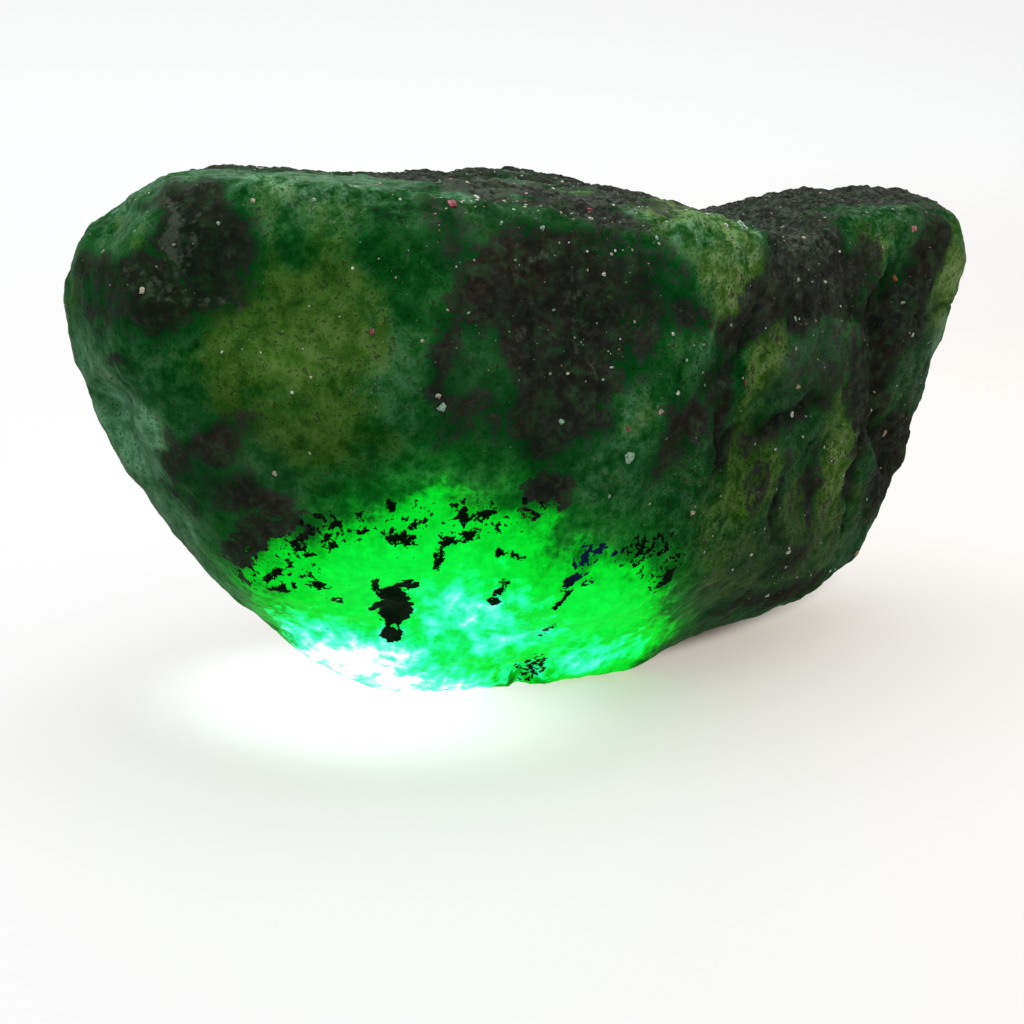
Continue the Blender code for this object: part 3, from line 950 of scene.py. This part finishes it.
def stoneMaterial():
    material, bench, shader = newMaterial("emeraldInSchist")
    coordinates = bench.node("ShaderNodeTexCoord", None, None, "Object")
    place = bench.scaled(coordinates, 1.0 / mm)

    def field(name):
        return bench.node("ShaderNodeAttribute", {"attribute_name": name}, None, "Fac")

    def paint(name):
        return (*rock[name], 1.0)

    def shade(name, value):
        return bench.node("ShaderNodeValToRGB", {"stops": rock[name]}, {"Fac": value})

    olive, vivid, deep, grey = field("olive"), field("vivid"), field("deep"), field("grey")
    flank, hollow, marked, level = field("flank"), field("hollow"), field("schist"), field("level")

    broad = bench.cloud(place, 0.17, 3.0, 0.5, 1)
    blotch = bench.cloud(place, 0.45, 5.0, 0.58, 2)
    curd = bench.cloud(place, 1.1, 4.0, 0.55, 6)
    pepper = bench.cloud(place, 2.4, 4.0, 0.60, 3)
    fleck = bench.cloud(place, 5.0, 2.0, 0.5, 4)
    streak = layeredCloud(bench, place, flank, level, 1.7, 2.9, 0.6, 5)
    thread = layeredCloud(bench, place, flank, level, 0.6, 0.85, 0.6, 7)
    ragged = (blotch - 0.5) * 0.5 + (pepper - 0.5) * 0.40 + (curd - 0.5) * 0.45 + (fleck - 0.5) * 0.12

    # green beryl: how pale it is, and how far it leans to olive
    drift = (broad - 0.5) * 0.13 + (blotch - 0.5) * 0.19 + (curd - 0.5) * (0.26 + vivid * 0.16 + flank * 0.12)
    drift = drift + (pepper - 0.5) * (0.20 + vivid * 0.14 + flank * 0.10) + (fleck - 0.5) * 0.10
    drift = drift + (streak - 0.5) * (0.05 + flank * 0.16) + (thread - 0.5) * flank * 0.08
    drift = drift + ((curd - 0.5) * 0.28 + (pepper - 0.5) * 0.24) * level
    # the green is darker in the narrow hollows: painted shade
    pale = drift + field("milky") * 0.40 + vivid * 0.27 + olive * 0.10 - deep * 0.12 - hollow * 0.25 + 0.41
    warm = olive * 0.85 + vivid * 0.28 + flank * 0.20 - deep * 0.15
    warm = warm + (broad - 0.5) * 0.20 + (blotch - 0.5) * 0.45 + (streak - 0.5) * 0.30 + (pepper - 0.5) * 0.15 - 0.02
    green = bench.mix(bench.ease(warm, 0.05, 0.85), shade("cool green", pale), shade("olive green", pale))
    green = bench.mix(bench.ease(fleck * 0.5 + pepper * 0.5, 0.63, 0.84) * (0.60 + flank * 0.2), green, paint("fleck"))
    # grey haze: rock that is half schist, and painted sheen
    haze = grey * (0.25 + curd * 0.35) * (1.0 - deep * 0.8) * (1.0 - vivid * 0.6)
    green = bench.mix(haze, green, paint("grey haze"))
    nearSchist = bench.ease(marked + ragged * 0.6, 0.08, 0.50)
    green = bench.mix(nearSchist * 0.50, green, paint("shade"))

    # mica schist, in ragged patches and in thin streaks along its layers
    wild = bench.ease(broad * 0.3 + streak * 0.5 + thread * 0.2, 0.56, 0.86) * (0.12 + flank * 0.42)
    # more schist, and darker schist, in the narrow hollows: painted shade
    schist = bench.ease(marked + ragged * 0.75 + wild + hollow * 0.35, 0.30, 0.68)
    schistPale = thread * 0.24 + streak * 0.18 + pepper * 0.26 + curd * 0.18 + grey * 0.20 + level * (pepper * 0.30 + 0.02) - hollow * 0.3
    brown = bench.ease(blotch * 0.6 + broad * 0.4, 0.35, 0.80) * 0.65 * (1.0 - grey * 0.7)
    grimy = bench.scaled(rock["schist brown"], 0.45 + pepper * 0.55 + curd * 0.45)
    schistTone = bench.mix(brown, shade("schist", schistPale), grimy)
    schistTone = bench.mix(bench.ease(pepper * 0.5 + curd * 0.5, 0.64, 0.82) * (1.0 - grey * 0.8) * 0.5, schistTone, paint("schist green"))
    schistTone = bench.mix(deep * 0.45, schistTone, paint("deep schist"))
    thin = bench.ease(curd * 0.45 + blotch * 0.55, 0.50, 0.90) * 0.28
    colour = bench.mix(schist * (0.97 - thin), green, schistTone)
    filament = bench.ease(field("filament") + (pepper - 0.5) * 0.7 + (thread - 0.5) * 0.5, 0.35, 1.05)
    colour = bench.mix(filament * (0.50 + level * 0.25), colour, paint("filament"))

    # dark inclusions
    crystal = field("inclusion") + (pepper - 0.5) * 0.48 + (curd - 0.5) * 0.25
    clean = 1.0 - bench.ease(crystal, 0.54, 0.62)
    dark = bench.mix(field("navy"), paint("inclusion"), paint("navy"))

    # painted light: the glow of a lamp under the base, painted into the stone's own emission through the clear parts
    # and stopped by schist and by dark inclusions
    span = lamp["to"] - lamp["from"]
    depth = (field("lit") + ragged * 1.5 - lamp["from"]) / span
    hotSpan = lamp["hot to"] - lamp["hot from"]
    blob = bench.cloud(bench.vector("MULTIPLY", place, (1.0, 0.25, 0.8)), 1.0, 3.0, 0.5, 8)
    heat = (field("hot") + (blotch - 0.5) * 1.6 + (blob - 0.5) * 2.4 + (curd - 0.5) * 1.2 - lamp["hot from"]) / hotSpan
    through = bench.node("ShaderNodeValToRGB", {"stops": lamp["stops"]}, {"Fac": depth})
    heart = bench.node("ShaderNodeValToRGB", {"stops": lamp["hot stops"]}, {"Fac": heat})
    glow = bench.mix(bench.ease(depth, 0.36, 0.46) * bench.ease(heat, 0.0, 0.10), through, heart)
    glow = bench.scaled(glow, 0.86 + curd * 0.16 + pepper * 0.12 + blob * 0.08)
    clear = 1.0 - bench.ease(marked + ragged * 0.75, 0.40, 0.55)
    glow = bench.mix(clear * clean, (0.0, 0.0, 0.0, 1.0), glow)
    bench.plug(shader.inputs["Emission Color"], glow)
    shader.inputs["Emission Strength"].default_value = 1.0

    # where the painted glow lies, the clear rock's base colour is darkened, so that only the glow shows
    colour = bench.mix(bench.ease(depth, 0.28, 0.42) * clear, colour, paint("shade"))
    # painted shade: faces that look up are made up to a fifth darker
    colour = bench.scaled(colour, 1.0 - level * 0.22)
    colour = bench.mix(clean, dark, colour)
    bench.plug(shader.inputs["Base Color"], colour)

    # surface
    bench.plug(shader.inputs["Roughness"], 0.42 + schist * 0.16 + (pepper - 0.5) * 0.2)
    shader.inputs["Specular IOR Level"].default_value = 0.008
    rougher = bench.ease(marked, 0.10, 0.50) * 0.5 + flank * 0.6 + 0.4
    ups = (pepper * 0.6 + fleck * 0.5 + curd * 0.4) * rougher
    bump = bench.node("ShaderNodeBump", None, {"Strength": 0.8, "Distance": 0.055 * mm, "Height": ups})
    bench.plug(shader.inputs["Normal"], bump)
    return material


def makeStone():
    piece = startStone()
    print("stone: even mesh,", len(piece.data.vertices), "points")
    shapeRelief(piece)
    markRock(piece)
    print("stone: rock kinds marked")
    material = stoneMaterial()
    runTree(piece, roughTree(), {**roughness, "Material": material})
    print("stone: rough surface,", len(piece.data.polygons), "faces")
    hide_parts("raw_emerald")
    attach(piece, "root")
    return piece


# Loose grains and crumbs lying on the stone

grainZones = {
    "edge": 6.0,
    "front": [
        ("right side", 17.0, 20.0, 17.0, 18.0, 0, 0.32),
        ("middle", -1.0, 26.0, 9.0, 10.0, 0, 0.09),
        ("left", -22.0, 24.0, 14.0, 14.0, 0, 0.02),
    ],
    "top": [
        ("whole top", 0.0, 0.0, 40.0, 22.0, 0, 0.7),
        ("pale brow", -22.0, -6.0, 12.0, 6.0, 6, -0.8),
        ("knob", 26.0, 8.0, 18.0, 14.0, 0, -0.8),
    ],
    "back": [
        ("whole back", 0.0, 18.0, 40.0, 24.0, 0, 0.25),
    ],
}

grains = {
    "Density": 1.0,  # in a square millimetre where they lie thickest
    "Smallest": 0.07,
    "Largest": 0.30,
    "Larger On Top": 1.4,
    "Flatness": 0.55,
    "Raggedness": 0.10,
    "Seed": 11,
}

# places across and up the front, length, width and colour
crumbs = [
    ("red chip", -11.4, 34.6, 0.80, 0.58, "red"),
    ("flake on the brow", -9.0, 34.7, 0.88, 0.29, "pale"),
    ("dot on the hump", -4.3, 33.8, 0.36, 0.29, "pale"),
    ("small red chip", -1.9, 33.8, 0.44, 0.36, "red"),
    ("green dot under the brow", -6.1, 33.1, 0.44, 0.36, "green"),
    ("dot in the schist", -2.0, 30.2, 0.29, 0.29, "pale"),
    ("crumb by the window", -12.8, 23.0, 0.58, 0.58, "green"),
    ("small crumb by the window", -13.0, 23.7, 0.36, 0.36, "cream"),
    ("crumb at the tip", -5.3, 21.7, 0.58, 0.36, "green"),
    ("green flake", -0.5, 18.9, 0.80, 0.95, "green"),
    ("red dot", -0.7, 20.8, 0.29, 0.29, "red"),
    ("crumb on the rib", 1.7, 21.6, 0.36, 0.66, "cream"),
    ("bright dot", 2.9, 22.7, 0.36, 0.36, "pale"),
    ("flake on the cap", 8.9, 32.6, 1.02, 0.51, "green"),
    ("crumb in the saddle", 13.7, 28.8, 0.51, 0.29, "cream"),
    ("dot in the saddle", 16.8, 28.3, 0.36, 0.36, "cream"),
    ("amber crumb", 25.2, 27.8, 0.58, 0.36, "amber"),
    ("pink crumb", 26.1, 31.4, 0.58, 0.51, "pink"),
    ("long crumb in the groove", 25.7, 26.0, 0.29, 0.80, "cream"),
    ("crumb by the rim", 26.9, 23.5, 0.44, 0.44, "pale"),
    ("crumb on the ledge", 13.6, 26.2, 0.51, 0.29, "green"),
    ("rust crumb", 8.8, 22.6, 0.58, 0.29, "rust"),
    ("beige dot", 14.0, 21.5, 0.36, 0.44, "beige"),
    ("dot on the step", 13.9, 19.5, 0.44, 0.29, "pale"),
    ("beige crumb", 26.4, 15.6, 0.80, 0.51, "beige"),
    ("crumb on the streak", 20.4, 13.7, 0.44, 0.29, "green"),
    ("hooked crumb", 15.2, 8.8, 0.36, 0.58, "pale"),
    ("crumb at the foot", 25.1, 5.6, 0.58, 0.58, "beige"),
    ("dot at the foot", 11.4, 9.5, 0.29, 0.36, "cream"),
    ("crumb under the side", 14.8, 4.8, 0.51, 0.36, "pale"),
    ("grey crumb", 5.0, 14.2, 0.44, 0.44, "cream"),
    ("rust chip", 8.0, 7.8, 0.29, 0.66, "rust"),
    ("dot on the brow", -22.9, 34.8, 0.36, 0.36, "cream"),
    ("crumb in the shoulder", -29.4, 29.7, 0.51, 0.36, "cream"),
    ("rust spot", -16.7, 27.5, 0.51, 0.44, "rust"),
    ("yellow dot", -22.4, 19.0, 0.36, 0.29, "cream"),
]

# Each colour holds a stretch of the tone that every grain carries.
grainColours = {
    "cream": (0.00, (0.40, 0.38, 0.24)),
    "green": (0.34, (0.24, 0.42, 0.27)),
    "pale": (0.58, (0.55, 0.60, 0.50)),
    "beige": (0.80, (0.42, 0.28, 0.17)),
    "amber": (0.88, (0.45, 0.16, 0.010)),
    "rust": (0.91, (0.13, 0.030, 0.014)),
    "red": (0.95, (0.26, 0.012, 0.025)),
    "pink": (0.98, (0.42, 0.17, 0.17)),
}


def grainMaterial():
    material, bench, shader = newMaterial("looseGrains")
    tone = bench.node("ShaderNodeAttribute", {"attribute_name": "tone"}, None, "Fac")
    coordinates = bench.node("ShaderNodeTexCoord", None, None, "Object")
    stops = list(grainColours.values())
    colour = bench.node("ShaderNodeValToRGB", {"stops": stops}, {"Fac": tone})
    colour.socket.node.color_ramp.interpolation = "CONSTANT"
    mottle = bench.cloud(bench.scaled(coordinates, 1.0 / mm), 6.0, 2.0, 0.5, 2)
    bench.plug(shader.inputs["Base Color"], bench.scaled(colour, 0.35 + mottle * 0.5))
    bench.plug(shader.inputs["Roughness"], 0.30 + mottle * 0.25)
    shader.inputs["Specular IOR Level"].default_value = 0.5
    return material


def grainTree():
    kinds = {name: "Int" if name == "Seed" else "Float" for name in grains}
    kinds["Material"] = "Material"
    tree, bench, given = newTree("scatteredGrains", kinds)
    seed = given["Seed"]

    def chance(low, high, offset):
        values = {"Min_001": low, "Max_001": high, "Seed": seed + offset}
        return bench.node("FunctionNodeRandomValue", {"data_type": "FLOAT"}, values, "Value_001")

    spots = bench.node(
        "GeometryNodeDistributePointsOnFaces",
        {"distribute_method": "RANDOM"},
        {"Mesh": given["Geometry"], "Density": namedField(bench, "grains") * given["Density"] / (mm * mm), "Seed": seed},
        "Points",
    )
    axisTurn = bench.node(
        "FunctionNodeAxisAngleToRotation", None, {"Axis": (0.0, 0.0, 1.0), "Angle": chance(0.0, 2.0 * math.pi, 1)}
    )
    turned = bench.node(
        "FunctionNodeRotateRotation",
        {"rotation_space": "LOCAL"},
        {"Rotation": spots.also("Rotation"), "Rotate By": axisTurn},
    )
    luck = chance(0.0, 1.0, 2)
    size = given["Smallest"] + (given["Largest"] - given["Smallest"]) * luck * luck * luck * luck
    size = size * (1.0 + namedField(bench, "level") * (given["Larger On Top"] - 1.0))
    shape = bench.node(
        "ShaderNodeCombineXYZ",
        None,
        {"X": size, "Y": size * chance(0.5, 1.0, 3), "Z": size * given["Flatness"]},
    )
    grain = bench.node("GeometryNodeMeshIcoSphere", None, {"Radius": 0.5 * mm, "Subdivisions": 1}, "Mesh")
    laid = bench.node(
        "GeometryNodeInstanceOnPoints", None, {"Points": spots, "Instance": grain, "Rotation": turned, "Scale": shape}
    )
    toned = bench.node(
        "GeometryNodeStoreNamedAttribute",
        {"data_type": "FLOAT", "domain": "INSTANCE"},
        {"Geometry": laid, "Name": "tone", "Value": chance(0.0, 0.93, 4)},
    )
    real = bench.node("GeometryNodeRealizeInstances", None, {"Geometry": toned})
    position = bench.node("GeometryNodeInputPosition")
    jitter = bench.node("ShaderNodeTexNoise", None, {"Vector": position, "Scale": 4.0 / mm, "Detail": 0.0}, "Color")
    offset = bench.scaled(bench.vector("SUBTRACT", jitter, (0.5, 0.5, 0.5)), given["Raggedness"] * mm)
    ragged = bench.node("GeometryNodeSetPosition", None, {"Geometry": real, "Offset": offset})
    flat = bench.node("GeometryNodeSetShadeSmooth", None, {"Geometry": ragged, "Shade Smooth": False})
    finishTree(bench, flat, given["Material"])
    return tree


def makeGrains(stone, material):
    piece = newPiece("looseGrains", stone.data.copy())
    runTree(piece, grainTree(), {**grains, "Material": material})
    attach(piece, "root")
    print("grains:", len(piece.data.polygons), "faces")


def makeCrumbs(stone, material):
    surface = BVHTree.FromPolygons([point.co for point in stone.data.vertices], [face.vertices for face in stone.data.polygons])
    shape = bmesh.new()
    toneLayer = shape.verts.layers.float.new("tone")
    for row, (_, across, up, length, width, colour) in enumerate(crumbs):
        place, facing, _, _ = surface.ray_cast(Vector((across, -60.0, up)) * mm, Vector((0.0, 1.0, 0.0)))
        if place is None:
            place, facing, _, _ = surface.find_nearest(Vector((across, -11.0, up)) * mm)
        turn = facing.to_track_quat("Z", "X").to_matrix().to_4x4()
        flatten = Matrix.Diagonal((length * 0.85, width * 0.85, min(length, width) * 0.6, 1.0))
        made = bmesh.ops.create_icosphere(shape, subdivisions=2, radius=0.5 * mm)["verts"]
        for point in made:
            knock = 1.0 + 0.8 * noise.noise(point.co / (0.4 * mm) + Vector((row * 7.3, 0.0, 0.0)))
            point.co = place + (turn @ (flatten @ (point.co * knock)))
            point[toneLayer] = grainColours[colour][0] + 0.01
    mesh = bpy.data.meshes.new("largerCrumbs")
    shape.to_mesh(mesh)
    shape.free()
    mesh.materials.append(material)
    piece = newPiece("largerCrumbs", mesh)
    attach(piece, "root")
    print("crumbs:", len(mesh.polygons), "faces")


# Studio

studio = {
    "floor": (0.27, 0.285, 0.32),
    "floor light": (0.490, 0.468, 0.408),
    # warmer on the right, to warm the floor round the painted shadow
    "floor light on the right": (0.515, 0.462, 0.384),
    # Soft ovals on the floor: middle, half sizes, turn in degrees, where each starts and ends. The first is a painted
    # shadow under the stone's right side, the second a painted pool of lamplight under its left end.
    "painted contact shadow": ((13.0, 8.6), (16.6, 4.5), 31.0, 0.60, 1.25),
    "lamp patch": ((-15.4, -2.8), (10.8, 8.4), -35.0, 0.30, 1.85),
    "wall light": (0.575, 0.565, 0.525),
    "front": 3000.0,
    "behind": 110.0,
    "curve": 60.0,
    "height": 500.0,
    "half width": 900.0,
}


def addStudio():
    # The floor runs back and curves up into the wall.
    line = [(-studio["front"], 0.0), (studio["behind"], 0.0)]
    for step in range(1, 17):
        turn = math.radians(90.0 * step / 16)
        line.append((studio["behind"] + studio["curve"] * math.sin(turn), studio["curve"] * (1.0 - math.cos(turn))))
    line.append((studio["behind"] + studio["curve"], studio["height"]))
    shape = bmesh.new()
    rows = []
    for y, z in line:
        rows.append([shape.verts.new(Vector((x, y, z)) * mm) for x in (-studio["half width"], studio["half width"])])
    for first, second in zip(rows, rows[1:]):
        shape.faces.new((first[0], first[1], second[1], second[0]))
    mesh = bpy.data.meshes.new("floor")
    shape.to_mesh(mesh)
    shape.free()
    mesh.shade_smooth()
    floor = newPiece("floor", mesh)
    material, bench, shader = newMaterial("paleFloor")
    shader.inputs["Base Color"].default_value = (*studio["floor"], 1.0)
    coordinates = bench.node("ShaderNodeTexCoord", None, None, "Object")

    def outside(name):
        middle, halfSizes, degrees, start, end = studio[name]
        turn = math.radians(degrees)
        offset = bench.vector("SUBTRACT", bench.scaled(coordinates, 1.0 / mm), (*middle, 0.0))
        along = bench.vector("DOT_PRODUCT", offset, (math.cos(turn), math.sin(turn), 0.0)) / halfSizes[0]
        over = bench.vector("DOT_PRODUCT", offset, (-math.sin(turn), math.cos(turn), 0.0)) / halfSizes[1]
        reach = along * along + over * over
        return bench.ease(reach.maths("SQRT", reach), start, end)

    height = bench.node("ShaderNodeSeparateXYZ", None, {"Vector": coordinates}, "Z")
    side = bench.node("ShaderNodeSeparateXYZ", None, {"Vector": coordinates}, "X")
    low = bench.mix(
        bench.ease(side, -20.0 * mm, 35.0 * mm),
        (*studio["floor light"], 1.0),
        (*studio["floor light on the right"], 1.0),
    )
    plain = bench.mix(bench.ease(height, 0.0, 40.0 * mm), low, (*studio["wall light"], 1.0))
    # painted pool of lamplight: the floor glows near white in an oval under the stone's left end
    light = bench.mix(outside("lamp patch"), (1.0, 1.05, 1.0, 1.0), plain)
    # painted shadow: the floor's own light is nearly put out in an oval under the stone's right side
    light = bench.mix(outside("painted contact shadow"), (0.045, 0.026, 0.008, 1.0), light)
    bench.plug(shader.inputs["Emission Color"], light)
    shader.inputs["Emission Strength"].default_value = 1.0
    shader.inputs["Roughness"].default_value = 0.6
    shader.inputs["Specular IOR Level"].default_value = 0.2
    mesh.materials.append(material)


lights = {
    # name: place, aim, width, power in watts, colour
    "overhead": ((-60.0, 60.0, 420.0), (0.0, 0.0, 0.0), 420.0, 1.35, (1.0, 0.99, 0.97)),
    "wall wash": ((0.0, 60.0, 300.0), (0.0, 170.0, 120.0), 500.0, 1.50, (1.0, 1.0, 1.0)),
    "front fill": ((-180.0, -380.0, 220.0), (0.0, 0.0, 15.0), 260.0, 0.12, (1.0, 0.99, 0.97)),
    "low fill": ((160.0, -330.0, 60.0), (10.0, 0.0, 5.0), 160.0, 0.05, (1.0, 0.98, 0.95)),
}


def addLights():
    for name, (place, aim, width, power, colour) in lights.items():
        data = bpy.data.lights.new(name, "AREA")
        data.size = width * mm
        data.energy = power
        data.color = colour
        light = bpy.data.objects.new(name, data)
        bpy.context.scene.collection.objects.link(light)
        light.location = Vector(place) * mm
        light.rotation_euler = (Vector(aim) - Vector(place)).to_track_quat("-Z", "Y").to_euler()
        light.visible_camera = False
    world = bpy.data.worlds.new("studio")
    bpy.context.scene.world = world
    world.use_nodes = True
    sky = world.node_tree.nodes["Background"]
    sky.inputs["Color"].default_value = (0.9, 0.92, 0.94, 1.0)
    sky.inputs["Strength"].default_value = 0.25


bpy.context.scene.view_settings.view_transform = "Standard"
addCamera()
addStudio()
addLights()
print("studio: camera, floor and lights")
stone = makeStone()
grainFinish = grainMaterial()
makeGrains(stone, grainFinish)
makeCrumbs(stone, grainFinish)
